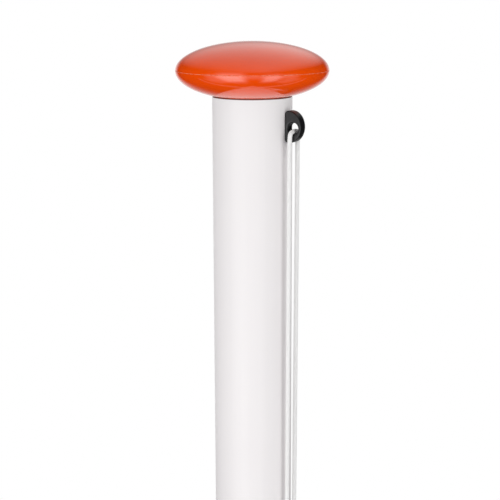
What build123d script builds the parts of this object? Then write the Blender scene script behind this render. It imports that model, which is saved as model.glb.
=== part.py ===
from build123d import *
import os
from math import acos, cos, degrees, radians, sin, sqrt, tan

# A cylindrical glass-fibre flagpole, from ground level up: a hollow white pole, a flat lens-shaped knob of
# two shells on a spigot in the pole's top, a black line eye just below it, and an endless halyard that runs
# through the eye and is belayed on a black horn cleat near the ground.
#
# Millimetres. The origin is the centre of the pole's foot, +Z runs up the pole, and +X points to the side
# that carries the line eye, the halyard and the cleat.

# Pole
pole_length = 5000.0
pole_diameter = 90.0
pole_wall = 4.0
pole_rim_round = 1.2

# Knob: an ellipse above the seam and one below it
knob_diameter = 172.0
crown_height = 32.3
belly_height = 32.8
knob_wall = 3.0
rim_cover = 0.1
seat_gap = 0.8
seat_land = 1.2
seam_chamfer = 0.5
lip_height = 4.0
lip_wall = 2.0
lip_fit = 0.2

# Spigot of the knob, and the seat reamed for it in the pole's bore
spigot_depth = 58.0
spigot_wall = 3.0
spigot_lead = 1.5
spigot_fit = 0.2
ream_cut = 0.6
ream_room = 2.0

# Line eye: a D-shaped loop with a bell-mouthed throat across the pole
eye_drop = 31.3
eye_height = 35.5
eye_thickness = 11.4
eye_throat = 12.4
eye_lip = 2.3
eye_land = 1.5
eye_hole_drop = 1.5
eye_heel = 5.0
eye_heel_round = 4.5
eye_edge_round = 1.3
eye_root = 0.5

# Cleat
cleat_level = 1250.0
cleat_length = 130.0
cleat_gap = 17.0
cleat_crown = 13.0
cleat_tip = 8.0
cleat_tip_rise = 4.0
cleat_width = 18.0
cleat_tip_width = 10.0
cleat_neck_length = 46.0
cleat_foot_length = 66.0
cleat_foot_width = 26.0
cleat_foot_thickness = 4.0
cleat_root = 4.0
cleat_throat_round = 7.0
cleat_flank_round = 60.0
cleat_tip_round = 4.0
cleat_edge_round = 3.0
screw_pitch = 34.0
screw_head_diameter = 9.5
screw_head_depth = 2.6

# Halyard
cord_diameter = 5.0
fall_standoff = 8.1
fall_spread = 0.5
bight_tilt = 9.0
knot_rise = 190.0
knot_length = 27.0
knot_diameter = 12.0
knot_round = 3.0
belay_rise = 80.0
cord_bend_share = 0.45

# Clearances and cuts
saddle_fit = 0.2
cord_fit = 0.3
cut_overrun = 5.0
pick_band = 0.1

pole_radius = pole_diameter / 2
bore_radius = pole_radius - pole_wall
ream_radius = bore_radius + ream_cut
ream_depth = spigot_depth + ream_room
knob_radius = knob_diameter / 2
spigot_radius = ream_radius - spigot_fit
spigot_inner_radius = spigot_radius - spigot_wall
belly_foot_radius = pole_radius - rim_cover
belly_depth = belly_height * sqrt(1 - (belly_foot_radius / knob_radius) ** 2)
seam_level = pole_length + seat_gap + belly_depth
cord_radius = cord_diameter / 2

os.makedirs("parts", exist_ok=True)


def keep(builder, name):
    """Labels a finished piece and writes its STEP file."""
    builder.part.label = name
    export_step(builder.part, f"parts/{name}.step")


def section_plane(x, z):
    """The upright plane through the pole's axis: local x outwards, local y up, from the point (x, 0, z)."""
    return Plane(origin=(x, 0, z), x_dir=(1, 0, 0), z_dir=(0, -1, 0))


def corners_at(sketch, axis, place):
    """The corners of a sketch that lie at this place along the axis."""
    return sketch.vertices().filter_by_position(axis, place - pick_band, place + pick_band)


# Pole: a plain tube whose upper rim is rounded outside and reamed inside for the spigot
with BuildPart() as pole_tube:
    with BuildSketch():
        Circle(pole_radius)
        Circle(bore_radius, mode=Mode.SUBTRACT)
    extrude(amount=pole_length)
    with BuildSketch(Plane.XY.offset(pole_length - ream_depth)):
        Circle(ream_radius)
    extrude(amount=ream_depth + cut_overrun, mode=Mode.SUBTRACT)
    top_edges = pole_tube.edges().filter_by(GeomType.CIRCLE).group_by(Axis.Z)[-1]
    fillet(top_edges.sort_by(SortBy.RADIUS)[-1], pole_rim_round)
keep(pole_tube, "pole_tube")


def seam_edge(builder):
    """The widest round edge of a knob shell, where the two shells meet."""
    return builder.edges().filter_by(GeomType.CIRCLE).sort_by(SortBy.RADIUS)[-1]


# Knob, upper shell: an elliptic dome that ends on the seam (each quarter ellipse is a weighted curve)
inner_radius = knob_radius - knob_wall
inner_crown = crown_height - knob_wall
inner_belly = belly_height - knob_wall
quarter_weights = (1, sqrt(0.5), 1)
with BuildPart() as knob_upper_shell:
    with BuildSketch(section_plane(0, seam_level)):
        with BuildLine():
            Bezier((knob_radius, 0), (knob_radius, crown_height), (0, crown_height), weights=quarter_weights)
            Bezier((inner_radius, 0), (inner_radius, inner_crown), (0, inner_crown), weights=quarter_weights)
            Line((inner_radius, 0), (knob_radius, 0))
            Line((0, inner_crown), (0, crown_height))
        make_face()
    revolve(axis=Axis.Z)
    chamfer(seam_edge(knob_upper_shell), seam_chamfer)
keep(knob_upper_shell, "knob_upper_shell")


# Knob, lower shell: an elliptic bowl with a locating lip inside the seam and an open bottom
lip_radius = inner_radius * sqrt(1 - (lip_height / inner_crown) ** 2) - lip_fit
lip_inner_radius = lip_radius - lip_wall
belly_sweep = degrees(acos(belly_foot_radius / knob_radius))
bowl_start = degrees(acos(spigot_inner_radius / inner_radius))
bowl_sweep = bowl_start - degrees(acos(lip_inner_radius / inner_radius))


def inner_belly_depth(radius):
    """Depth of the bowl's inner face below the seam at this radius."""
    return inner_belly * sqrt(1 - (radius / inner_radius) ** 2)


with BuildPart() as knob_lower_shell:
    with BuildSketch(section_plane(0, seam_level)):
        with BuildLine():
            EllipticalCenterArc((0, 0), knob_radius, belly_height, -belly_sweep, arc_size=belly_sweep)
            Polyline(
                (knob_radius, 0),
                (lip_radius, 0),
                (lip_radius, lip_height),
                (lip_inner_radius, lip_height),
                (lip_inner_radius, -inner_belly_depth(lip_inner_radius)),
            )
            EllipticalCenterArc((0, 0), inner_radius, inner_belly, -bowl_start, arc_size=bowl_sweep)
            Polyline(
                (spigot_inner_radius, -inner_belly_depth(spigot_inner_radius)),
                (spigot_inner_radius, -belly_depth),
                (belly_foot_radius, -belly_depth),
            )
        make_face()
    revolve(axis=Axis.Z)
    chamfer(seam_edge(knob_lower_shell), seam_chamfer)
keep(knob_lower_shell, "knob_lower_shell")


# Knob spigot: a tube in the reamed bore, with a flange between the pole's rim and the bowl that leaves a
# narrow shadow gap under the knob
flange_radius = spigot_radius + seat_land
with BuildPart() as knob_spigot:
    with BuildSketch(section_plane(0, pole_length)):
        with BuildLine():
            Polyline(
                (spigot_inner_radius, -spigot_depth),
                (spigot_radius - spigot_lead, -spigot_depth),
                (spigot_radius, spigot_lead - spigot_depth),
                (spigot_radius, 0),
                (flange_radius, 0),
                (flange_radius, seat_gap),
                (spigot_inner_radius, seat_gap),
                close=True,
            )
        make_face()
    revolve(axis=Axis.Z)
keep(knob_spigot, "knob_spigot")


# Line eye: half an ellipse on a short straight heel, pierced across by a throat with rounded lips, and
# hollowed behind to sit on the pole
eye_level = pole_length - eye_drop
eye_hole_level = eye_level - eye_hole_drop
eye_mouth_radius = eye_throat / 2 + eye_lip
eye_hole_standoff = eye_mouth_radius + eye_land
eye_reach = eye_hole_standoff + eye_mouth_radius + eye_land
eye_half = eye_thickness / 2
eye_hole_axis = Axis((pole_radius + eye_hole_standoff, 0, eye_hole_level), (0, 1, 0))
throat_half = eye_half - eye_lip
with BuildPart() as line_eye:
    with BuildSketch(section_plane(pole_radius, eye_level)) as eye_outline:
        with BuildLine():
            EllipticalCenterArc((eye_heel, 0), eye_reach - eye_heel, eye_height / 2, -90, arc_size=180)
            Polyline(
                (eye_heel, eye_height / 2),
                (-eye_root, eye_height / 2),
                (-eye_root, -eye_height / 2),
                (eye_heel, -eye_height / 2),
            )
        make_face()
        fillet(eye_outline.vertices().group_by(Axis.X)[0], eye_heel_round)
    extrude(amount=eye_half, both=True)
    fillet(line_eye.edges().filter_by(GeomType.LINE, reverse=True).filter_by(Plane.XZ), eye_edge_round)
    with BuildSketch(Plane(eye_hole_axis.position, x_dir=(0, 1, 0), z_dir=(1, 0, 0))):
        with BuildLine():
            Polyline(
                (-throat_half - eye_lip, eye_mouth_radius),
                (-eye_half - cut_overrun, eye_mouth_radius),
                (-eye_half - cut_overrun, 0),
                (eye_half + cut_overrun, 0),
                (eye_half + cut_overrun, eye_mouth_radius),
                (throat_half + eye_lip, eye_mouth_radius),
            )
            CenterArc((-throat_half, eye_mouth_radius), eye_lip, 180, 90)
            CenterArc((throat_half, eye_mouth_radius), eye_lip, 270, 90)
            Line((-throat_half, eye_throat / 2), (throat_half, eye_throat / 2))
        make_face()
    revolve(axis=eye_hole_axis, mode=Mode.SUBTRACT)
    with BuildSketch(Plane.XY.offset(eye_level - eye_height)):
        Circle(pole_radius + saddle_fit)
    extrude(amount=eye_height * 2, mode=Mode.SUBTRACT)
keep(line_eye, "line_eye")


# Cleat: the side view and the front view cut each other into two tapering horns on a neck, a wide foot
# under the neck is hollowed to sit on the pole, and two round recesses take the screw heads
cleat_side_plane = section_plane(pole_radius, cleat_level)
cleat_front_plane = Plane(origin=(pole_radius, 0, cleat_level), x_dir=(0, 1, 0), z_dir=(1, 0, 0))
cleat_top = cleat_gap + cleat_crown
horn_under = cleat_gap + cleat_tip_rise
with BuildPart() as cleat:
    with BuildSketch(cleat_side_plane) as cleat_side:
        with BuildLine():
            Polyline(
                (-cleat_root, 0),
                (-cleat_root, cleat_neck_length / 2),
                (cleat_gap, cleat_neck_length / 2),
                (horn_under, cleat_length / 2),
                (horn_under + cleat_tip, cleat_length / 2),
                (cleat_top, cleat_neck_length / 2),
                (cleat_top, 0),
                close=True,
            )
        make_face()
        mirror(about=Plane.XZ)
        fillet(corners_at(cleat_side, Axis.X, cleat_gap), cleat_throat_round)
        fillet(corners_at(cleat_side, Axis.X, cleat_top), cleat_flank_round)
    extrude(amount=cleat_width, both=True)
    with BuildSketch(cleat_front_plane) as cleat_front:
        with BuildLine():
            Polyline(
                (0, -cleat_length / 2),
                (cleat_tip_width / 2, -cleat_length / 2),
                (cleat_width / 2, -cleat_neck_length / 2),
                (cleat_width / 2, cleat_neck_length / 2),
                (cleat_tip_width / 2, cleat_length / 2),
                (0, cleat_length / 2),
                close=True,
            )
        make_face()
        mirror(about=Plane.YZ)
        fillet(corners_at(cleat_front, Axis.X, cleat_width / 2), cleat_flank_round)
        fillet(corners_at(cleat_front, Axis.X, -cleat_width / 2), cleat_flank_round)
        fillet(corners_at(cleat_front, Axis.X, cleat_tip_width / 2), cleat_tip_round)
        fillet(corners_at(cleat_front, Axis.X, -cleat_tip_width / 2), cleat_tip_round)
    extrude(amount=cleat_top + cut_overrun, both=True, mode=Mode.INTERSECT)
    fillet(cleat.edges(), cleat_edge_round)
    with BuildSketch(cleat_front_plane.offset(-cleat_root)):
        SlotOverall(cleat_foot_length, cleat_foot_width, rotation=90)
    extrude(amount=cleat_root + cleat_foot_thickness)
    with BuildSketch(Plane.XY.offset(cleat_level - cleat_length)):
        Circle(pole_radius + saddle_fit)
    extrude(amount=cleat_length * 2, mode=Mode.SUBTRACT)
    with BuildSketch(cleat_front_plane.offset(cleat_top - screw_head_depth)):
        with Locations((0, -screw_pitch / 2), (0, screw_pitch / 2)):
            Circle(screw_head_diameter / 2)
    extrude(amount=screw_head_depth + cut_overrun, mode=Mode.SUBTRACT)
keep(cleat, "cleat")


# Halyard: one line from the underside of its joining knot down to the cleat, once round the neck and in a
# figure of eight over the horns, up the front fall, through the line eye and down the back fall to the
# knot's top. Each point of the belay is the distance out from the pole, sideways, and up from the cleat's
# middle, and follows the cleat's size; the bight follows the lips of the eye.
belay_points = [
    (7.0, 12.5, 8.0),
    (7.5, 19.5, -18.0),
    (10.0, 17.5, -34.0),
    (12.5, 0.0, -44.0),
    (16.0, -13.5, -32.0),
    (27.0, -15.0, -20.0),
    (39.4, -6.5, -6.0),
    (39.4, 6.5, 6.0),
    (27.0, 15.0, 20.0),
    (16.0, 13.5, 30.0),
    (12.5, 0.0, 38.0),
    (16.0, -13.5, 30.0),
    (25.0, -16.0, 20.0),
    (33.9, -8.0, 7.0),
    (33.9, 8.0, -7.0),
    (25.0, 16.0, -17.0),
    (13.0, 14.0, -25.0),
    (7.0, 0.0, -34.0),
    (7.0, -14.0, -21.0),
    (7.0, -12.5, 8.0),
]
bight_turn = eye_lip + cord_radius + cord_fit
bight_sink = eye_mouth_radius - bight_turn
fall_side = throat_half + bight_turn + fall_spread
fall_x = pole_radius + fall_standoff
bight_x = pole_radius + eye_hole_standoff - bight_sink * sin(radians(bight_tilt))
bight_level = eye_hole_level - bight_sink * cos(radians(bight_tilt))
fall_top = eye_hole_level - (eye_hole_standoff - fall_standoff) / tan(radians(bight_tilt))
bight_run = sqrt((bight_x - fall_x) ** 2 + (bight_level - fall_top) ** 2)
bight_ease = (bight_run - bight_turn) * 2 * cord_bend_share / tan(radians(bight_tilt / 2))
knot_level = cleat_level + knot_rise
belay_top = cleat_level + belay_rise
belay_route = [(pole_radius + out, side, cleat_level + up) for out, side, up in belay_points]
bight_route = [
    (fall_x, -fall_side, fall_top),
    (bight_x, -fall_side, bight_level),
    (bight_x, fall_side, bight_level),
    (fall_x, fall_side, fall_top),
]
halyard_route = [
    (fall_x, fall_side, knot_level - knot_length / 2),
    (fall_x, fall_side, belay_top),
    *belay_route,
    (fall_x, -fall_side, belay_top),
    *bight_route,
    (fall_x, fall_side, knot_level + knot_length / 2),
]


def widest_bend(before, corner, after):
    """The largest bend radius that its two runs leave room for."""
    to_corner = Vector(*corner) - Vector(*before)
    from_corner = Vector(*after) - Vector(*corner)
    room = cord_bend_share * min(to_corner.length, from_corner.length)
    return room / tan(radians(to_corner.get_angle(from_corner) / 2))


free_corners = halyard_route[: -len(bight_route)]
halyard_bends = [widest_bend(*three) for three in zip(free_corners, free_corners[1:], free_corners[2:])]
halyard_bends += [bight_ease, bight_turn, bight_turn, bight_ease]
with BuildPart() as halyard:
    with BuildLine() as halyard_line:
        FilletPolyline(*halyard_route, radius=halyard_bends)
    with BuildSketch(Plane(halyard_line.line @ 0, z_dir=halyard_line.line % 0)):
        Circle(cord_radius)
    sweep()
keep(halyard, "halyard")


# Knot: the barrel of turns that joins the halyard's two ends
knot_foot = knot_level - knot_length / 2
with BuildPart() as halyard_knot:
    with BuildSketch(Plane((fall_x, fall_side, knot_foot))):
        Circle(knot_diameter / 2)
    extrude(amount=knot_length)
    fillet(halyard_knot.edges().filter_by(GeomType.CIRCLE), knot_round)
keep(halyard_knot, "halyard_knot")
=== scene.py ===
"""Looks of a white glass-fibre flagpole with an orange knob, a line eye, a cleat and a halyard.

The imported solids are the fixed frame. The pole, the knob's shells, the halyard and its knot are replaced by
finer surfaces of the same size; the line eye, the cleat and the spigot keep their solids and get finishes.
All lengths are metres in the part's frame: the foot's centre is the origin and +Z runs up the pole.
"""

import logging
import math
from dataclasses import dataclass, field
from enum import Enum
from itertools import accumulate
from typing import Any

import bmesh
import bpy
import numpy as np
from mathutils import Matrix, Vector

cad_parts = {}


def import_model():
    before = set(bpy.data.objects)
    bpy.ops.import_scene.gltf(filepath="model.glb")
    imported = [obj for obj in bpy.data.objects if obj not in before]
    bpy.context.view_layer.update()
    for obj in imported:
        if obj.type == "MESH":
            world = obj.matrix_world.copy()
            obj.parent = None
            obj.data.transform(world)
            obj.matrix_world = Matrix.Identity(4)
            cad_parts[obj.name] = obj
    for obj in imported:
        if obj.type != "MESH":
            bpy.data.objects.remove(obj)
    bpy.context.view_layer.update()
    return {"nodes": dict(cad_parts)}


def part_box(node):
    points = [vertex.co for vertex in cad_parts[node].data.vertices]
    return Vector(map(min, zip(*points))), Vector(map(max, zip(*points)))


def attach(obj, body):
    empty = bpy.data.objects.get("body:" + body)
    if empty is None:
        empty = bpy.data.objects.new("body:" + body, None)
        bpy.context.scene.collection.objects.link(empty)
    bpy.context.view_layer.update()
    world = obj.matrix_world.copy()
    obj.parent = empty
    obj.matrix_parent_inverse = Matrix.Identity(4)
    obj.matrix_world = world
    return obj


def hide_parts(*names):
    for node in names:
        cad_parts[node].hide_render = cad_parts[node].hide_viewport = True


log = logging.getLogger("flagpole")

Socketed = Any
Colour = tuple[float, float, float]
Point = tuple[float, float, float]
Band = tuple[float, float, float, float]

BODY = "root"
MM = 0.001
WHITE = (1.0, 1.0, 1.0, 1.0)

# Points nearer than the first length are one, and edges shorter than the second one go
SAME_POINT = 1e-7
EMPTY_EDGE = 1e-8
# Degrees that faces meet at before their edge is sharp
SHARP_BEND = 40.0


class Slot(Enum):
    """Names of the material slots."""

    POLE = "pole_gelcoat"
    KNOB = "knob_orange"
    FITTING = "black_nylon"
    CORD = "halyard_white"


class Half(Enum):
    """The two shells of the knob, by the sign of their height above the seam."""

    UPPER = 1.0
    LOWER = -1.0


# Shader maths


class Shade:
    """A value in a shader graph; arithmetic on it adds Math nodes."""

    def __init__(self, graph: "Graph", socket: bpy.types.NodeSocket) -> None:
        """Wraps one output socket of a graph."""
        self.graph = graph
        self.socket = socket

    def _maths(self, operation: str, *values: Socketed) -> "Shade":
        """Adds one Math node with this operation on these values."""
        return self.graph.value("ShaderNodeMath", {"operation": operation}, dict(enumerate(values)))

    def __add__(self, other: Socketed) -> "Shade":
        """self + other."""
        return self._maths("ADD", self, other)

    __radd__ = __add__

    def __sub__(self, other: Socketed) -> "Shade":
        """self - other."""
        return self._maths("SUBTRACT", self, other)

    def __rsub__(self, other: Socketed) -> "Shade":
        """other - self."""
        return self._maths("SUBTRACT", other, self)

    def __mul__(self, other: Socketed) -> "Shade":
        """self * other."""
        return self._maths("MULTIPLY", self, other)

    __rmul__ = __mul__

    def __truediv__(self, other: Socketed) -> "Shade":
        """self / other."""
        return self._maths("DIVIDE", self, other)

    def __rtruediv__(self, other: Socketed) -> "Shade":
        """other / self."""
        return self._maths("DIVIDE", other, self)

    def __pow__(self, other: Socketed) -> "Shade":
        """self to the power other."""
        return self._maths("POWER", self, other)

    def floor(self) -> "Shade":
        """The whole number at or below the value."""
        return self._maths("FLOOR", self)

    def fract(self) -> "Shade":
        """The part of the value after the point."""
        return self._maths("FRACT", self)

    def modulo(self, other: Socketed) -> "Shade":
        """The positive remainder of self over other."""
        return self._maths("FLOORED_MODULO", self, other)

    def larger(self, other: Socketed) -> "Shade":
        """The larger of two values."""
        return self._maths("MAXIMUM", self, other)

    def step(self, low: float, high: float, to_low: float = 0.0, to_high: float = 1.0) -> "Shade":
        """A smooth step from to_low at low to to_high at high."""
        return self.graph.value(
            "ShaderNodeMapRange",
            {"interpolation_type": "SMOOTHSTEP"},
            {"Value": self, "From Min": low, "From Max": high, "To Min": to_low, "To Max": to_high},
        )

    def band(self, start: float, full: float, fade: float, end: float) -> "Shade":
        """A soft band: 0 to 1 from start to full, and back to 0 from fade to end."""
        return self.step(start, full) * self.step(end, fade)


@dataclass(frozen=True)
class Grain:
    """A noise pattern: features a metre, detail, roughness, and the values that its patches lie between."""

    scale: float
    detail: float = 3.0
    roughness: float = 0.5
    low: float = 0.0
    high: float = 1.0

    def patches(self, noise: Shade) -> Shade:
        """The noise as soft-edged patches from 0 to 1."""
        return noise.step(self.low, self.high)


class Graph:
    """A node tree that is filled by one node-making method."""

    def __init__(self, tree: bpy.types.NodeTree) -> None:
        """Empties the tree and keeps it."""
        tree.nodes.clear()
        self.tree = tree

    def node(self, kind: str, settings: dict[str, Any], sockets: dict[Any, Socketed]) -> bpy.types.Node:
        """Adds one node.

        Args:
            kind: the node's type name.
            settings: its properties, set first.
            sockets: values or links of its inputs, by name or by number.

        Returns:
            The new node.
        """
        made = self.tree.nodes.new(kind)
        for key, setting in settings.items():
            setattr(made, key, setting)
        for key, given in sockets.items():
            if isinstance(given, Shade):
                self.tree.links.new(given.socket, made.inputs[key])
            elif isinstance(given, bpy.types.NodeSocket):
                self.tree.links.new(given, made.inputs[key])
            else:
                made.inputs[key].default_value = given
        return made

    def value(self, kind: str, settings: dict[str, Any], sockets: dict[Any, Socketed], out: Any = 0) -> Shade:
        """Adds one node and wraps one of its outputs."""
        return Shade(self, self.node(kind, settings, sockets).outputs[out])

    def place(self) -> Shade:
        """The surface point in the part's frame."""
        return self.value("ShaderNodeTexCoord", {}, {}, "Object")

    def axes(self, vector: Shade) -> tuple[Shade, Shade, Shade]:
        """The three numbers of a vector."""
        split = self.node("ShaderNodeSeparateXYZ", {}, {0: vector})
        return Shade(self, split.outputs[0]), Shade(self, split.outputs[1]), Shade(self, split.outputs[2])

    def stretched(self, vector: Shade, scale: Point) -> Shade:
        """The vector with each axis scaled."""
        return self.value("ShaderNodeMapping", {}, {"Vector": vector, "Scale": scale})

    def noise(self, vector: Shade, grain: Grain) -> Shade:
        """Soft noise from 0 to 1 with this grain."""
        sockets = {"Scale": grain.scale, "Detail": grain.detail, "Roughness": grain.roughness}
        return self.value("ShaderNodeTexNoise", {}, {"Vector": vector, **sockets}, "Fac")

    def tint(self, share: Socketed, first: Socketed, second: Socketed) -> Shade:
        """Mixes two colours.

        Args:
            share: how much of the second colour shows, from 0 to 1.
            first: a colour, as three numbers or as a value in the graph.
            second: the other colour.

        Returns:
            The colour between the two.
        """
        # The Mix node takes its colours at inputs 6 and 7 and gives them at output 2
        one, two = ((*c, 1.0) if isinstance(c, tuple) else c for c in (first, second))
        return self.value("ShaderNodeMix", {"data_type": "RGBA"}, {0: share, 6: one, 7: two}, 2)

    def bump(self, height: Shade, distance: float) -> Shade:
        """A bumped normal from a height of 0 to 1 that stands for this distance."""
        return self.value("ShaderNodeBump", {}, {"Height": height, "Distance": distance, "Strength": 1.0})

    def finish(self, sockets: dict[str, Socketed]) -> None:
        """Ends the graph in one Principled surface."""
        shader = self.node("ShaderNodeBsdfPrincipled", {}, sockets)
        self.node("ShaderNodeOutputMaterial", {}, {"Surface": shader.outputs[0]})


def new_graph(name: str) -> tuple[bpy.types.Material, Graph]:
    """Starts a material.

    Args:
        name: the material's name.

    Returns:
        The new material and its empty graph.
    """
    material = bpy.data.materials.new(name)
    material.use_nodes = True
    return material, Graph(material.node_tree)


# Finishes


@dataclass(frozen=True)
class PoleGelcoat:
    """White half-gloss gelcoat over wound glass fibre; its cut rim shows raw laminate with painted shade and
    painted orange bounce light from the knob.
    """

    colour: Colour = (0.885, 0.857, 0.863)
    shaded: Colour = (0.850, 0.820, 0.828)
    # Raw laminate, darkened and reddened as painted shade and painted orange bounce light under the knob
    laminate_and_shade: Colour = (0.18, 0.060, 0.045)
    laminate_shade_from: float = 4.9994
    laminate_shade_to: float = 4.9997
    drawn: Point = (1.0, 1.0, 0.012)
    streaks: Grain = Grain(130.0, 4.0, 0.55, 0.35, 0.75)
    clouds: Grain = Grain(7.0, 3.0, 0.5, 0.4, 0.75)
    peel: Grain = Grain(420.0, 2.0)
    streak_shading: float = 0.35
    cloud_shading: float = 0.45
    roughness: float = 0.42
    streak_dulling: float = 0.08
    cloud_dulling: float = 0.05
    ripple: float = 0.00004
    peel_share: float = 0.6
    streak_share: float = 0.4
    ior: float = 1.40

    def material(self) -> bpy.types.Material:
        """Makes the finish: drawn streaks, a soft ripple, uneven gloss and a cut rim of raw laminate in
        painted shade.

        Returns:
            The new material.
        """
        material, g = new_graph("pole_gelcoat")
        place = g.place()
        streak = g.noise(g.stretched(place, self.drawn), self.streaks)
        cloud = g.noise(place, self.clouds)
        peel = g.noise(place, self.peel)
        streak_shade = self.streaks.patches(streak) * self.streak_shading
        share = streak_shade + self.clouds.patches(cloud) * self.cloud_shading
        skin = g.tint(share, self.colour, self.shaded)
        # The cut rim takes the laminate colour, which is partly painted shade and painted orange bounce light
        rim_laminate_and_shade = g.axes(place)[2].step(self.laminate_shade_from, self.laminate_shade_to)
        g.finish(
            {
                "Base Color": g.tint(rim_laminate_and_shade, skin, self.laminate_and_shade),
                "Roughness": self.roughness + streak * self.streak_dulling + cloud * self.cloud_dulling,
                "Normal": g.bump(peel * self.peel_share + streak * self.streak_share, self.ripple),
                "IOR": self.ior,
            }
        )
        return material


@dataclass(frozen=True)
class KnobGloss:
    """Orange-red moulded plastic with a high gloss."""

    colour: Colour = (0.93, 0.079, 0.0006)
    deep: Colour = (0.88, 0.070, 0.0005)
    drift: Grain = Grain(14.0, 3.0, 0.5, 0.35, 0.7)
    flattened: Point = (1.0, 1.0, 2.5)
    swirls: Grain = Grain(60.0, 4.0, 0.6, 0.45, 0.8)
    peel: Grain = Grain(260.0, 2.0)
    roughness: float = 0.06
    swirl_dulling: float = 0.07
    ripple: float = 0.000012
    ior: float = 1.68

    def material(self) -> bpy.types.Material:
        """Makes the finish: slow colour drift, faint swirls in the gloss and a trace of orange peel.

        Returns:
            The new material.
        """
        material, g = new_graph("knob_gloss")
        place = g.place()
        drift = g.noise(place, self.drift)
        swirl = g.noise(g.stretched(place, self.flattened), self.swirls)
        peel = g.noise(place, self.peel)
        g.finish(
            {
                "Base Color": g.tint(self.drift.patches(drift), self.colour, self.deep),
                "Roughness": self.roughness + self.swirls.patches(swirl) * self.swirl_dulling,
                "Normal": g.bump(peel, self.ripple),
                "IOR": self.ior,
            }
        )
        return material


@dataclass(frozen=True)
class SeamFlash:
    """The pale line of squeezed-out plastic where the shells are welded."""

    colour: Colour = (0.88, 0.13, 0.03)
    pale: Colour = (0.90, 0.30, 0.17)
    mottle: Grain = Grain(330.0, 3.0, 0.5, 0.35, 0.65)
    roughness: float = 0.35
    dulling: float = 0.2

    def material(self) -> bpy.types.Material:
        """Makes the finish: patchy, paler and duller than the shells.

        Returns:
            The new material.
        """
        material, g = new_graph("seam_flash")
        mottle = g.noise(g.place(), self.mottle)
        g.finish(
            {
                "Base Color": g.tint(self.mottle.patches(mottle), self.colour, self.pale),
                "Roughness": self.roughness + mottle * self.dulling,
            }
        )
        return material


@dataclass(frozen=True)
class SpigotPaintedShade:
    """The spigot's moulded plastic, coloured dark brown as painted shade; it shows only as a dark line in the
    gap under the knob.
    """

    # Painted shade: the plastic is darkened to brown as it looks deep in the gap
    colour: Colour = (0.260, 0.040, 0.018)
    dust_in_painted_shade: Colour = (0.300, 0.070, 0.045)
    dust: Grain = Grain(240.0, 4.0, 0.6, 0.45, 0.75)
    roughness: float = 0.55
    dulling: float = 0.25
    relief: float = 0.00004

    def material(self) -> bpy.types.Material:
        """Makes the finish: a moulded skin in painted shade, with a little dust.

        Returns:
            The new material.
        """
        material, g = new_graph("spigot_painted_shade")
        dust = g.noise(g.place(), self.dust)
        g.finish(
            {
                "Base Color": g.tint(self.dust.patches(dust), self.colour, self.dust_in_painted_shade),
                "Roughness": self.roughness + dust * self.dulling,
                "Normal": g.bump(dust, self.relief),
            }
        )
        return material


@dataclass(frozen=True)
class BlackNylon:
    """Black moulded nylon with a satin skin."""

    colour: Colour = (0.008, 0.008, 0.009)
    worn: Colour = (0.022, 0.021, 0.022)
    texture: Grain = Grain(2600.0, 2.0)
    wear: Grain = Grain(90.0, 4.0, 0.6, 0.45, 0.8)
    dull_from: float = 0.3
    dull_to: float = 0.8
    roughness: float = 0.29
    dulling: float = 0.16
    relief: float = 0.00003
    ior: float = 1.42

    def material(self) -> bpy.types.Material:
        """Makes the finish: fine spark-eroded grain with slightly greyer and duller patches.

        Returns:
            The new material.
        """
        material, g = new_graph("black_nylon")
        place = g.place()
        texture = g.noise(place, self.texture)
        wear = g.noise(place, self.wear)
        g.finish(
            {
                "Base Color": g.tint(self.wear.patches(wear), self.colour, self.worn),
                "Roughness": self.roughness + wear.step(self.dull_from, self.dull_to) * self.dulling,
                "Normal": g.bump(texture, self.relief),
                "IOR": self.ior,
            }
        )
        return material


@dataclass(frozen=True)
class BraidedCord:
    """White braided polyester; the mesh's UV map runs round the cord and along it."""

    colour: Colour = (0.94, 0.935, 0.93)
    # Painted shade: the hollows between the strands are coloured darker
    painted_crease_shade: Colour = (0.91, 0.905, 0.90)
    crease_shade_from: float = 0.05
    crease_shade_to: float = 0.55
    strands: int = 8
    dip: float = 0.45
    fibres: Grain = Grain(3800.0, 2.0)
    roughness: float = 0.62
    dulling: float = 0.2
    relief: float = 0.00022
    fuzz: float = 0.15
    sheen: float = 0.15

    def material(self) -> bpy.types.Material:
        """Makes the finish from two sets of strands that wind opposite ways.

        With a and b the places across each set, the set on top changes from cell to cell as in a
        checkerboard. Each strand is a parabola across its width, and dips along a parabola where it goes
        under.

        Returns:
            The new material.
        """
        material, g = new_graph("braided_cord")
        around_cord, along_cord, _ = g.axes(g.value("ShaderNodeUVMap", {"uv_map": "braid"}, {}))
        a = around_cord * self.strands + along_cord * self.strands
        b = around_cord * self.strands - along_cord * self.strands
        over = (a.floor() + b.floor()).modulo(2.0)
        across = a.fract() * over + b.fract() * (1.0 - over)
        lengthways = b.fract() * over + a.fract() * (1.0 - over)
        round_top = 1.0 - (across * 2.0 - 1.0) ** 2.0
        arch = 1.0 - (lengthways * 2.0 - 1.0) ** 2.0
        height = round_top * ((1.0 - self.dip) + self.dip * arch)
        fibre = g.noise(g.place(), self.fibres)
        g.finish(
            {
                # Painted shade: the low places of the braid take the darker colour
                "Base Color": g.tint(height.step(self.crease_shade_from, self.crease_shade_to), self.painted_crease_shade, self.colour),
                "Roughness": self.roughness + fibre * self.dulling,
                "Normal": g.bump(height + fibre * self.fuzz, self.relief),
                "Sheen Weight": self.sheen,
            }
        )
        return material


@dataclass(frozen=True)
class ScrewSteel:
    """Bright stainless steel of the cleat's screws."""

    colour: Colour = (0.58, 0.57, 0.55)
    grimy: Colour = (0.30, 0.29, 0.27)
    grime: Grain = Grain(500.0, 4.0, 0.5, 0.5, 0.8)
    roughness: float = 0.24
    dulling: float = 0.25

    def material(self) -> bpy.types.Material:
        """Makes the finish: bright metal with a little grime.

        Returns:
            The new material.
        """
        material, g = new_graph("screw_steel")
        grime = g.noise(g.place(), self.grime)
        g.finish(
            {
                "Base Color": g.tint(self.grime.patches(grime), self.colour, self.grimy),
                "Roughness": self.roughness + grime * self.dulling,
                "Metallic": 1.0,
            }
        )
        return material


# Surfaces


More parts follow.
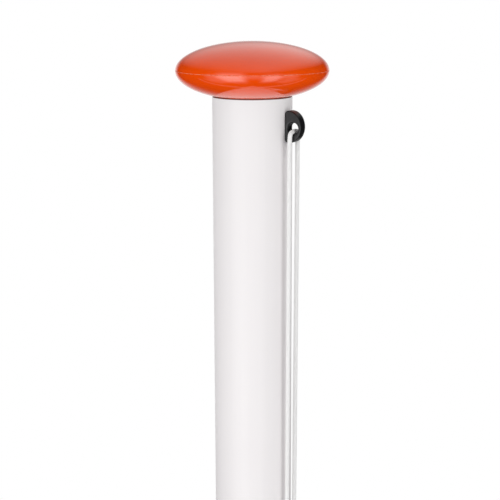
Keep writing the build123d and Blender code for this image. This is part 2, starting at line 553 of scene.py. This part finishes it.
def grid_piece(
    name: str,
    points: np.ndarray,
    closed: bool,
    uv: np.ndarray | None = None,
    capped: bool = True,
) -> bpy.types.Object:
    """Makes a mesh from a grid of points.

    Args:
        name: the piece's name.
        points: rows by columns by 3; the columns run round and always close on the first.
        closed: whether the last row joins the first.
        uv: rows by columns + 1 by 2 map for the "braid" layer of a grid that isn't closed, or None.
        capped: whether the open ends of a grid that isn't closed are filled.

    Returns:
        The new object, at the origin and linked to the scene.
    """
    rows, columns = points.shape[:2]
    spans = rows if closed else rows - 1
    i, j = np.meshgrid(np.arange(spans), np.arange(columns), indexing="ij")
    i, j = i.ravel(), j.ravel()
    quad = [(i, j), (i, j + 1), (i + 1, j + 1), (i + 1, j)]
    faces = np.stack([(a % rows) * columns + b % columns for a, b in quad], axis=1)
    mesh = bpy.data.meshes.new(name)
    mesh.vertices.add(rows * columns)
    mesh.vertices.foreach_set("co", points.reshape(-1).astype(np.float32))
    mesh.loops.add(faces.size)
    mesh.loops.foreach_set("vertex_index", faces.reshape(-1).astype(np.int32))
    mesh.polygons.add(len(faces))
    mesh.polygons.foreach_set("loop_start", np.arange(0, faces.size, len(quad), dtype=np.int32))
    if uv is not None:
        layer = mesh.uv_layers.new(name="braid")
        flat = np.stack([uv[a, b] for a, b in quad], axis=1)
        layer.uv.foreach_set("vector", flat.reshape(-1).astype(np.float32))
    mesh.update(calc_edges=True)
    work = bmesh.new()
    work.from_mesh(mesh)
    bmesh.ops.remove_doubles(work, verts=work.verts, dist=SAME_POINT)
    bmesh.ops.dissolve_degenerate(work, edges=work.edges, dist=EMPTY_EDGE)
    if capped and not closed:
        rims = [e for e in work.edges if e.is_boundary]
        bmesh.ops.holes_fill(work, edges=rims, sides=0)
    bmesh.ops.recalc_face_normals(work, faces=work.faces)
    work.to_mesh(mesh)
    work.free()
    mesh.shade_smooth()
    mesh.set_sharp_from_angle(angle=math.radians(SHARP_BEND))
    piece = bpy.data.objects.new(name, mesh)
    bpy.context.scene.collection.objects.link(piece)
    return piece


def around(count: int) -> np.ndarray:
    """This many angles, spread evenly once round."""
    return np.linspace(0.0, 2.0 * math.pi, count, endpoint=False)


def turned(radius: np.ndarray, height: np.ndarray | float, angle: np.ndarray) -> np.ndarray:
    """Points (r cos t, r sin t, z) about the pole's axis, from whole arrays that fit each other."""
    x, y = radius * np.cos(angle), radius * np.sin(angle)
    return np.stack([x, y, np.broadcast_to(height, x.shape)], axis=-1)


def revolve(name: str, profile: np.ndarray, segments: int) -> bpy.types.Object:
    """Turns a closed profile about the pole's axis: (r cos t, r sin t, z).

    Args:
        name: the piece's name.
        profile: points of (radius, height), n by 2.
        segments: how many columns run round.

    Returns:
        The new object.
    """
    return grid_piece(name, turned(profile[:, :1], profile[:, 1:], around(segments)), True)


def quarter(radius: float, height: float, start: float, end: float, count: int) -> np.ndarray:
    """Points (radius cos t, height sin t) of an ellipse from start to end, in radians."""
    t = np.linspace(start, end, count)
    return np.stack([radius * np.cos(t), height * np.sin(t)], axis=1)


def dress(piece: bpy.types.Object, material: bpy.types.Material, slot: Slot, *nodes: str) -> bpy.types.Object:
    """Gives a new piece its finish and body.

    Args:
        piece: the new piece.
        material: its finish.
        slot: not used.
        nodes: the CAD nodes that it stands for.

    Returns:
        The same piece.
    """
    piece.data.materials.clear()
    piece.data.materials.append(material)
    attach(piece, BODY)
    if nodes:
        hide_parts(*nodes)
    log.info("%s: %d faces", piece.name, len(piece.data.polygons))
    return piece


def refinish(node: bpy.types.Object, material: bpy.types.Material) -> None:
    """Gives a CAD node a better finish.

    Args:
        node: the node's object.
        material: its finish.
    """
    node.data.materials.clear()
    node.data.materials.append(material)
    log.info("%s: solid kept, finished with %s", node.name, material.name)


# Sub-assemblies


@dataclass
class Pole:
    """The pole's tube."""

    length: float = 5.0
    radius: float = 0.045
    bore: float = 0.041
    ream: float = 0.0416
    ream_depth: float = 0.060
    rim_round: float = 0.0012
    rim_points: int = 9
    wall_points: int = 41
    segments: int = 240

    def build(self) -> bpy.types.Object:
        """Turns the tube's closed section: outer wall, rounded rim, reamed seat, bore and foot.

        Returns:
            The tube.
        """
        rim = quarter(self.rim_round, self.rim_round, 0.0, math.pi / 2, self.rim_points)
        rim += (self.radius - self.rim_round, self.length - self.rim_round)
        seat = self.length - self.ream_depth
        wall = np.linspace(0.0, self.length - self.rim_round, self.wall_points)[:-1]
        outer = np.stack([np.full_like(wall, self.radius), wall], axis=1)
        inner = np.array([[self.ream, self.length], [self.ream, seat], [self.bore, seat], [self.bore, 0.0]])
        return revolve("pole_wall", np.concatenate([outer, rim, inner]), self.segments)

    def dress(self, material: bpy.types.Material) -> None:
        """Builds the tube in place of its node and finishes it."""
        dress(self.build(), material, Slot.POLE, "pole_tube")


@dataclass
class Knob:
    """The two shells of the knob and the flash on their seam."""

    seam: float
    radius: float = 0.086
    crown: float = 0.0323
    belly: float = 0.0328
    wall: float = 0.003
    chamfer: float = 0.0005
    foot_radius: float = 0.0449
    spigot_bore: float = 0.0384
    lip_height: float = 0.004
    lip_wall: float = 0.002
    lip_fit: float = 0.0002
    groove_height: float = 0.0007
    groove_depth: float = 0.0012
    crown_points: tuple[int, int] = (73, 33)
    belly_points: tuple[int, int] = (61, 25)
    segments: int = 288
    flash: float = 0.00034
    flash_inset: float = 0.00003
    flash_mean: float = 0.85
    flash_swing: float = 0.15
    flash_waves: tuple[int, int, int, int] = (37, 113, 211, 17)
    flash_fine: float = 0.6
    flash_rows: int = 1440
    flash_columns: int = 10

    def shell(self, half: Half) -> bpy.types.Object:
        """Turns one shell's closed section.

        The outer and inner faces are ellipses (r cos t, h sin t) whose semi-axes differ by the wall. The
        upper one closes on the axis; the lower one ends on the spigot, with a shadow groove round its foot,
        and carries the locating lip.

        Args:
            half: which shell.

        Returns:
            The shell.
        """
        height = self.crown if half is Half.UPPER else self.belly
        inner_radius, inner_height = self.radius - self.wall, height - self.wall
        start = math.asin(self.chamfer / height)
        mouth = np.array([[self.radius - self.chamfer, 0.0]])
        if half is Half.UPPER:
            outer_points, inner_points = self.crown_points
            outer = quarter(self.radius, height, start, math.pi / 2, outer_points)
            inner = quarter(inner_radius, inner_height, math.pi / 2, 0.0, inner_points)
            section = np.concatenate([mouth, outer, inner])
        else:
            outer_points, inner_points = self.belly_points
            depth = height * math.sin(math.acos(self.foot_radius / self.radius))
            brim = depth - self.groove_height
            outer = quarter(self.radius, height, start, math.asin(brim / height), outer_points)
            groove = self.foot_radius - self.groove_depth
            ring = np.array([[groove, brim], [groove, depth], [self.spigot_bore, depth]])
            reach = self.lip_height / (self.crown - self.wall)
            lip = inner_radius * math.sqrt(1 - reach**2) - self.lip_fit
            root = lip - self.lip_wall
            bowl = [math.acos(r / inner_radius) for r in (self.spigot_bore, root)]
            inner = quarter(inner_radius, inner_height, *bowl, inner_points)
            tongue = np.array([[root, -self.lip_height], [lip, -self.lip_height], [lip, 0.0]])
            section = np.concatenate([mouth, outer, ring, inner, tongue])
        section = section * (1.0, half.value) + (0.0, self.seam)
        return revolve(f"knob_{half.name.lower()}_skin", section, self.segments)

    def seam_flash(self) -> bpy.types.Object:
        """A ring bead in the seam's groove, whose thickness wavers round the knob.

        With t round the knob and s round the bead: radius = ring + w(t) cos s, height = seam + w(t) sin s,
        where w is the bead's half thickness times 0.7 to 1 by a sum of sines.

        Returns:
            The bead.
        """
        t, s = around(self.flash_rows)[:, None], around(self.flash_columns)[None, :]
        a, b, c, d = self.flash_waves
        waver = np.sin(a * t) * np.sin(b * t + 1.0) + self.flash_fine * np.sin(c * t) * np.sin(d * t + 2.0)
        half = self.flash * (self.flash_mean + self.flash_swing * np.clip(waver, -1.0, 1.0))
        ring = self.radius - self.flash - self.flash_inset
        radius, height = ring + half * np.cos(s), self.seam + half * np.sin(s)
        return grid_piece("knob_seam_flash", turned(radius, height, t), True)

    def dress(self, gloss: bpy.types.Material, flash: bpy.types.Material) -> None:
        """Builds the shells in place of their nodes and adds the flash; no orange is cast on the pole.

        Args:
            gloss: the shells' finish.
            flash: the seam's finish.
        """
        upper = dress(self.shell(Half.UPPER), gloss, Slot.KNOB, "knob_upper_shell")
        lower = dress(self.shell(Half.LOWER), gloss, Slot.KNOB, "knob_lower_shell")
        dress(self.seam_flash(), flash, Slot.KNOB)
        upper.visible_diffuse = lower.visible_diffuse = False


@dataclass
class Cleat:
    """The horn cleat's screws; its body keeps the solid."""

    level: float = 1.25
    front: float = 0.075
    pitch: float = 0.034
    head: float = 0.0044
    pocket: float = 0.0026
    seat: float = 0.00005
    rim: float = 0.0004
    dome: float = 0.0011
    cross_width: float = 0.0007
    cross_depth: float = 0.0012
    cross_reach: float = 0.62
    wall_slope: float = 9000.0
    end_slope: float = 40.0
    rows: int = 29
    columns: int = 96

    def screw(self, name: str, rise: float) -> bpy.types.Object:
        """A domed screw head with a cross recess, in its round pocket.

        With r the share of the way out from the screw's axis and t round it, the face stands at
        rim + dome (1 - r ** 2), less the cross's depth times two logistic steps: one across the nearer arm
        at the cross's half width, the other along r at the cross's reach.

        Args:
            name: the piece's name.
            rise: the screw's height over the cleat's middle.

        Returns:
            The screw head.
        """
        r, t = np.linspace(0.0, 1.0, self.rows)[:, None], around(self.columns)[None, :]
        y, z = self.head * r * np.cos(t), self.head * r * np.sin(t)
        arm = np.minimum(np.abs(y), np.abs(z))
        across = 1.0 / (1.0 + np.exp((arm - self.cross_width) * self.wall_slope))
        cut = across / (1.0 + np.exp((r - self.cross_reach) * self.end_slope))
        base = self.front - self.pocket
        face = base + self.rim + self.dome * (1.0 - r**2) - self.cross_depth * cut
        x = np.concatenate([face, np.full((1, self.columns), base + self.seat)])
        y, z = np.concatenate([y, y[-1:]]), np.concatenate([z, z[-1:]])
        return grid_piece(name, np.stack([x, y, z + self.level + rise], axis=-1), False)

    def dress(self, nylon: bpy.types.Material, steel: bpy.types.Material, body: bpy.types.Object) -> None:
        """Finishes the cleat and adds its screws.

        Args:
            nylon: the cleat's finish.
            steel: the screws' finish.
            body: the cleat's node.
        """
        refinish(body, nylon)
        dress(self.screw("cleat_screw_upper", self.pitch / 2), steel, Slot.FITTING)
        dress(self.screw("cleat_screw_lower", -self.pitch / 2), steel, Slot.FITTING)


def route_line(points: np.ndarray) -> np.ndarray:
    """Reads the smooth line of a cord's route.

    Args:
        points: the route's control points, n by 3.

    Returns:
        Points along a NURBS spline of order 3 on those control points.
    """
    order, steps = 3, 64
    curve = bpy.data.curves.new("route", "CURVE")
    curve.dimensions = "3D"
    spline = curve.splines.new("NURBS")
    spline.points.add(len(points) - 1)
    spline.points.foreach_set("co", np.column_stack([points, np.ones(len(points))]).reshape(-1))
    spline.order_u = order
    spline.use_endpoint_u = True
    spline.resolution_u = steps
    holder = bpy.data.objects.new("route", curve)
    line = bpy.data.meshes.new_from_object(holder)
    read = np.empty(len(line.vertices) * 3)
    line.vertices.foreach_get("co", read)
    bpy.data.objects.remove(holder)
    bpy.data.curves.remove(curve)
    bpy.data.meshes.remove(line)
    return read.reshape(-1, 3)


def along(line: np.ndarray, fine: float, coarse: float) -> tuple[np.ndarray, np.ndarray]:
    """Spreads points along a line, close together where it bends.

    The spacing is read at dense, even samples of the line and blurred over a few of them.

    Args:
        line: the line's own points.
        fine: spacing in bends.
        coarse: spacing on straight runs.

    Returns:
        The new points, and how far along the line each lies.
    """
    same, samples, bent, blur = 1e-9, 60000, 0.4, 41
    run = np.linalg.norm(np.diff(line, axis=0), axis=1)
    line = line[np.concatenate([[True], run > same])]
    run = np.linalg.norm(np.diff(line, axis=0), axis=1)
    way = np.concatenate([[0.0], np.cumsum(run)])
    heading = np.diff(line, axis=0) / run[:, None]
    bend = np.linalg.norm(np.diff(heading, axis=0), axis=1) / (0.5 * (run[1:] + run[:-1]))
    bend = np.concatenate([bend[:1], bend, bend[-1:]])
    dense = np.linspace(0.0, way[-1], samples)
    sharp = np.interp(dense, way, bend)
    pace = np.where(sharp > bent, 1.0 / fine, 1.0 / coarse)
    pace = np.convolve(pace, np.full(blur, 1 / blur), "same")
    count = np.concatenate([[0.0], np.cumsum(0.5 * (pace[1:] + pace[:-1]) * np.diff(dense))])
    spots = np.interp(np.linspace(0.0, count[-1], int(count[-1]) + 2), count, dense)
    return np.stack([np.interp(spots, way, line[:, k]) for k in range(3)], axis=1), spots


def carried_frames(line: np.ndarray) -> tuple[np.ndarray, np.ndarray]:
    """Carries two directions across a line along it without twist.

    Args:
        line: the line's points, n by 3.

    Returns:
        The two directions at each point, each n by 3.
    """
    heading = np.gradient(line, axis=0)
    heading /= np.linalg.norm(heading, axis=1)[:, None]

    def carry(across: np.ndarray, ahead: np.ndarray) -> np.ndarray:
        """The last direction, made square to the next heading."""
        square = across - ahead * np.dot(across, ahead)
        return square / np.linalg.norm(square)

    askew = np.array([1.0, 0.13, 0.21])
    first = carry(askew, heading[0])
    one = np.array(list(accumulate(heading[1:], carry, initial=first)))
    return one, np.cross(heading, one)


def rope(name: str, line: np.ndarray, way: np.ndarray, radius: float, columns: int) -> bpy.types.Object:
    """Carries a circle along a line: point = line + radius (one cos t + two sin t).

    Args:
        name: the piece's name.
        line: the line's points, n by 3.
        way: how far along the line each point lies.
        radius: the rope's radius.
        columns: how many columns run round it.

    Returns:
        The rope, whose UV map counts turns round it and girths along it.
    """
    one, two = carried_frames(line)
    t = around(columns)[None, :, None]
    points = line[:, None] + radius * (one[:, None] * np.cos(t) + two[:, None] * np.sin(t))
    u = np.broadcast_to(np.linspace(0.0, 1.0, columns + 1), (len(line), columns + 1))
    v = np.broadcast_to((way / (2.0 * math.pi * radius))[:, None], u.shape)
    return grid_piece(name, points, False, np.stack([u, v], axis=-1))


@dataclass
class Halyard:
    """The endless line through the eye and round the cleat, and its joining knot.

    The points of the belay and of the bight are in millimetres: out from the pole's face, sideways, and up
    from the cleat's middle or from the middle of the eye's hole.
    """

    pole_radius: float = 0.045
    pole_top: float = 5.0
    cleat_level: float = 1.25
    hole_drop: float = 0.0328
    radius: float = 0.0025
    fine: float = 0.0009
    coarse: float = 0.018
    columns: int = 22
    fall: float = 0.0531
    side: float = 0.0090
    front_lean: float = 0.0495
    back_lean: float = 0.0478
    lean_level: float = 3.9
    knot_rise: float = 0.190
    knot_length: float = 0.027
    knot_turns: float = 4.6
    knot_coil: float = 0.0034
    knot_end: float = 0.45
    knot_swell: float = 0.25
    knot_rows: int = 420
    knot_columns: int = 18
    belay_rise: float = 0.080
    belay: list[Point] = field(
        default_factory=lambda: [
            (7.0, 12.5, 8.0),
            (7.5, 19.5, -18.0),
            (10.0, 17.5, -34.0),
            (12.5, 0.0, -44.0),
            (16.0, -13.5, -32.0),
            (27.0, -15.0, -20.0),
            (39.4, -6.5, -6.0),
            (39.4, 6.5, 6.0),
            (27.0, 15.0, 20.0),
            (16.0, 13.5, 30.0),
            (12.5, 0.0, 38.0),
            (16.0, -13.5, 30.0),
            (25.0, -16.0, 20.0),
            (33.9, -8.0, 7.0),
            (33.9, 8.0, -7.0),
            (25.0, 16.0, -17.0),
            (13.0, 14.0, -25.0),
            (7.0, 0.0, -34.0),
            (7.0, -14.0, -21.0),
            (7.0, -12.5, 8.0),
        ]
    )
    bight: list[Point] = field(
        default_factory=lambda: [
            (8.1, -9.0, -42.0),
            (8.1, -9.0, -12.0),
            (9.47, -9.0, -3.36),
            (9.47, 9.0, -3.36),
            (8.1, 9.0, -12.0),
            (8.1, 9.0, -42.0),
        ]
    )

    def route(self) -> np.ndarray:
        """The route's points: knot, belay, front fall, bight in the eye, back fall and knot again.

        Below the eye both falls lean in to the pole, and lie closest to it at the lean's level.

        Returns:
            The control points of the route's spline, n by 3.
        """
        knot = self.cleat_level + self.knot_rise
        top = self.cleat_level + self.belay_rise
        belay = np.array(self.belay) * MM + (self.pole_radius, 0.0, self.cleat_level)
        bight = np.array(self.bight) * MM + (self.pole_radius, 0.0, self.pole_top - self.hole_drop)
        return np.concatenate(
            [
                [(self.fall, self.side, knot), (self.fall, self.side, top)],
                belay,
                [(self.fall, -self.side, top), (self.front_lean, -self.side, self.lean_level)],
                bight,
                [(self.back_lean, self.side, self.lean_level), (self.fall, self.side, knot)],
            ]
        )

    def line(self) -> bpy.types.Object:
        """The cord itself along its smooth route."""
        line, way = along(route_line(self.route()), self.fine, self.coarse)
        return rope("halyard_line", line, way, self.radius, self.columns)

    def knot(self) -> bpy.types.Object:
        """The knot's turns: a coil round the fall whose ends draw in to the line.

        With p from 0 to 1 along the coil: angle = 2 pi turns p, radius = coil radius times a flat-topped
        swell that falls to under half at both ends, height = length (p - 1 / 2).

        Returns:
            The coil.
        """
        p = np.linspace(0.0, 1.0, self.knot_rows)
        swell = self.knot_end + (1.0 - self.knot_end) * np.sin(math.pi * p) ** self.knot_swell
        angle = 2.0 * math.pi * self.knot_turns * p
        rise = (self.knot_length - 2.0 * self.radius) * (p - 0.5)
        centre = (self.fall, self.side, self.cleat_level + self.knot_rise)
        line = turned(self.knot_coil * swell, rise, angle) + centre
        way = np.concatenate([[0.0], np.cumsum(np.linalg.norm(np.diff(line, axis=0), axis=1))])
        return rope("halyard_knot_turns", line, way, self.radius, self.knot_columns)

    def dress(self, material: bpy.types.Material) -> None:
        """Builds the line and the knot in place of their nodes and finishes them."""
        dress(self.line(), material, Slot.CORD, "halyard")
        dress(self.knot(), material, Slot.CORD, "halyard_knot")


# Stage


@dataclass(frozen=True)
class Glow:
    """A soft light as shiny surfaces show it: its band across, its band up or along, and its level."""

    across: Band
    along: Band
    level: float

    def shade(self, across: Shade, along: Shade) -> Shade:
        """The light's level in a direction given by two places."""
        return across.band(*self.across) * along.band(*self.along) * self.level


@dataclass(frozen=True)
class StripLamp:
    """A tall soft lamp that faces the pole, with its azimuth counted from the camera's."""

    name: str
    azimuth: float
    distance: float
    width: float
    power: float
    height: float = 4.6
    level: float = 4.2

    def build(self, place: Point) -> None:
        """Makes the lamp and turns it to the pole's axis.

        Args:
            place: the middle of the lamp.
        """
        data = bpy.data.lights.new(self.name, "AREA")
        data.shape = "RECTANGLE"
        data.size, data.size_y = self.width, self.height
        data.energy = self.power
        lamp = bpy.data.objects.new(self.name, data)
        lamp.location = place
        lamp.visible_camera = lamp.visible_glossy = False
        aim = Vector((0.0, 0.0, place[2])) - Vector(place)
        lamp.rotation_euler = aim.to_track_quat("-Z", "Y").to_euler()
        bpy.context.scene.collection.objects.link(lamp)


@dataclass
class Studio:
    """The floor, the world, the lamps and the camera.

    A glow's rise is the range over which it comes in. The mirrored studio's level is gloom where no glow is,
    and shallow is the least that its directions are divided by.
    """

    azimuth: float = 31.0
    distance: float = 1.3821
    eye_level: float = 5.1239
    pitch: float = 12.260
    yaw: float = 0.1285
    roll: float = -0.176
    focal_pixels: float = 1228.9
    frame_pixels: float = 500.0
    sensor: float = 36.0
    clip: tuple[float, float] = (0.05, 200.0)
    floor_radius: float = 7.0
    floor_rings: tuple[float, ...] = (0.0, 0.25, 0.5, 0.75, 1.0)
    floor_columns: int = 96
    floor_level: float = -0.0004
    floor_grey: float = 0.90
    fade_from: float = 0.35
    fade_to: float = 0.98
    fade_start: float = 0.45
    ambient: float = 0.51
    gloom: float = 0.015
    shallow: float = 0.02
    roof: Glow = Glow((-2.0, 0.6, 0.2, 1.9), (-6.5, -1.6, -1.0, 3.6), 1.15)
    roof_rise: tuple[float, float] = (0.02, 0.1)
    left_strip: Glow = Glow((-1.9, -0.75, -0.42, -0.06), (-1.00, -0.70, -0.30, 0.62), 2.6)
    right_strip: Glow = Glow((0.18, 0.50, 0.70, 1.25), (-0.97, -0.72, -0.50, 0.42), 2.0)
    fill: Glow = Glow((-5.0, -1.6, 1.0, 5.0), (-0.86, -0.20, -0.10, 0.18), 0.95)
    strip_rise: tuple[float, float] = (0.05, 0.2)
    backdrop: Glow = Glow((-0.75, -0.35, 0.35, 0.75), (-0.72, -0.12, -0.02, 0.32), 0.95)
    backdrop_rise: tuple[float, float] = (-0.05, -0.2)
    skirt: Glow = Glow((-0.05, 0.15, 0.28, 0.55), (-0.97, -0.82, -0.70, -0.35), 0.5)
    skirt_rise: tuple[float, float] = (0.08, 0.25)
    floor_edge: Glow = Glow((-2.2, -1.3, 1.3, 2.2), (-0.25, -0.19, -0.15, -0.09), 0.5)
    strips: tuple[StripLamp, ...] = (
        StripLamp("strip_left", -48.0, 1.5, 1.7, 21.8),
        StripLamp("strip_right", 40.0, 1.5, 1.3, 16.6),
        StripLamp("strip_back", 180.0, 1.6, 1.0, 6.0),
    )

    def bearing(self, azimuth: float, distance: float, level: float) -> Point:
        """A point this far from the pole's axis at this level, with azimuth 0 towards the camera."""
        a = math.radians(self.azimuth + azimuth)
        return (distance * math.sin(a), -distance * math.cos(a), level)

    def camera(self) -> None:
        """Makes the camera at the photograph's viewing angle."""
        data = bpy.data.cameras.new("camera")
        data.sensor_width = self.sensor
        data.lens = self.focal_pixels * self.sensor / self.frame_pixels
        data.clip_start, data.clip_end = self.clip
        yaw, pitch, roll = (math.radians(x) for x in (self.azimuth + self.yaw, self.pitch, self.roll))
        ahead = Vector((-math.sin(yaw) * math.cos(pitch), math.cos(yaw) * math.cos(pitch), -math.sin(pitch)))
        level = Vector((math.cos(yaw), math.sin(yaw), 0.0))
        upright = level.cross(ahead)
        right = level * math.cos(roll) + upright * math.sin(roll)
        up = upright * math.cos(roll) - level * math.sin(roll)
        turn = Matrix((right, up, -ahead)).transposed().to_4x4()
        camera = bpy.data.objects.new("camera", data)
        camera.matrix_world = Matrix.Translation(self.bearing(0.0, self.distance, self.eye_level)) @ turn
        bpy.context.scene.collection.objects.link(camera)
        bpy.context.scene.camera = camera

    def floor(self) -> None:
        """Makes a pale round floor that fades to white at its edge: (r cos t, r sin t, level)."""
        r = np.array(self.floor_rings)[:, None] * self.floor_radius
        points = turned(r, self.floor_level, around(self.floor_columns)[None, :])
        floor = grid_piece("floor", points, False, capped=False)
        floor.visible_glossy = False
        material, g = new_graph("floor")
        x, y, _ = g.axes(g.place())
        ends = (self.floor_radius * self.fade_from, self.floor_radius * self.fade_to)
        edge = ((x * x + y * y) ** 0.5).step(*ends, self.fade_start, 1.0)
        seen = g.value("ShaderNodeLightPath", {}, {}, "Is Camera Ray")
        grey = (self.floor_grey, self.floor_grey, self.floor_grey, 1.0)
        matt = g.node("ShaderNodeBsdfDiffuse", {}, {"Color": grey})
        white = g.node("ShaderNodeEmission", {}, {"Color": WHITE, "Strength": 1.0})
        mixed = g.node("ShaderNodeMixShader", {}, {0: edge * seen, 1: matt.outputs[0], 2: white.outputs[0]})
        g.node("ShaderNodeOutputMaterial", {}, {"Surface": mixed.outputs[0]})
        floor.data.materials.append(material)

    def surround(self, g: Graph) -> Shade:
        """The level of light that shiny surfaces mirror.

        With front, side and z a direction's parts towards the camera, to its right and up, the roof is
        drawn in (side, front) / z, the floor's edge in (side, front) / -z, the strips and the fill in
        side / front and z, the backdrop in side / -front and z, and the skirts in front and z.

        Args:
            g: the world's graph.

        Returns:
            The level in every direction.
        """
        x, y, z = g.axes(g.value("ShaderNodeTexCoord", {}, {}, "Generated"))
        a = math.radians(self.azimuth)
        front = x * math.sin(a) - y * math.cos(a)
        side = x * math.cos(a) + y * math.sin(a)
        up, down = z.larger(self.shallow), (0.0 - z).larger(self.shallow)
        ahead = side / front.larger(self.shallow)
        behind = side / (0.0 - front).larger(self.shallow)
        roof = self.roof.shade(side / up, front / up) * z.step(*self.roof_rise)
        edge = self.floor_edge.shade(side / down, front / down)
        left, right = self.left_strip.shade(ahead, z), self.right_strip.shade(ahead, z)
        strips = (left + right + self.fill.shade(ahead, z)) * front.step(*self.strip_rise)
        skirts = self.skirt.shade(front, z) * (side * side).step(*self.skirt_rise)
        backdrop = self.backdrop.shade(behind, z) * front.step(*self.backdrop_rise)
        return self.gloom + roof + edge + skirts + backdrop + strips

    def world(self) -> None:
        """White for the camera, the mirrored studio for shiny surfaces, and a plain level for the rest."""
        world = bpy.data.worlds.new("studio")
        bpy.context.scene.world = world
        world.use_nodes = True
        g = Graph(world.node_tree)
        path = g.node("ShaderNodeLightPath", {}, {})
        rays = ("Is Camera Ray", "Is Glossy Ray", "Is Transmission Ray")
        seen, glossy, through = (Shade(g, path.outputs[ray]) for ray in rays)
        mirrored = glossy * (1.0 - seen) * self.surround(g)
        plain = (1.0 - seen.larger(glossy).larger(through)) * self.ambient
        level = seen.larger(through) + mirrored + plain
        ground = g.node("ShaderNodeBackground", {}, {"Color": WHITE, "Strength": level})
        g.node("ShaderNodeOutputWorld", {}, {"Surface": ground.outputs[0]})

    def lamps(self) -> None:
        """Two tall strip lights left and right of the camera, and a weaker one behind the pole."""
        for strip in self.strips:
            strip.build(self.bearing(strip.azimuth, strip.distance, strip.level))

    def build(self) -> None:
        """Sets up the whole stage."""
        self.floor()
        self.world()
        self.lamps()
        self.camera()
        bpy.context.scene.view_settings.view_transform = "Standard"


def main() -> None:
    """Loads the frame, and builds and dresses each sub-assembly."""
    logging.basicConfig(level=logging.INFO, format="%(name)s: %(message)s")
    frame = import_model()
    nodes = frame["nodes"]
    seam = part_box("knob_upper_shell")[0].z
    nylon = BlackNylon().material()
    Pole().dress(PoleGelcoat().material())
    Knob(seam=seam).dress(KnobGloss().material(), SeamFlash().material())
    refinish(nodes["knob_spigot"], SpigotPaintedShade().material())
    refinish(nodes["line_eye"], nylon)
    Cleat().dress(nylon, ScrewSteel().material(), nodes["cleat"])
    Halyard().dress(BraidedCord().material())
    Studio().build()


if __name__ == "__main__":
    main()
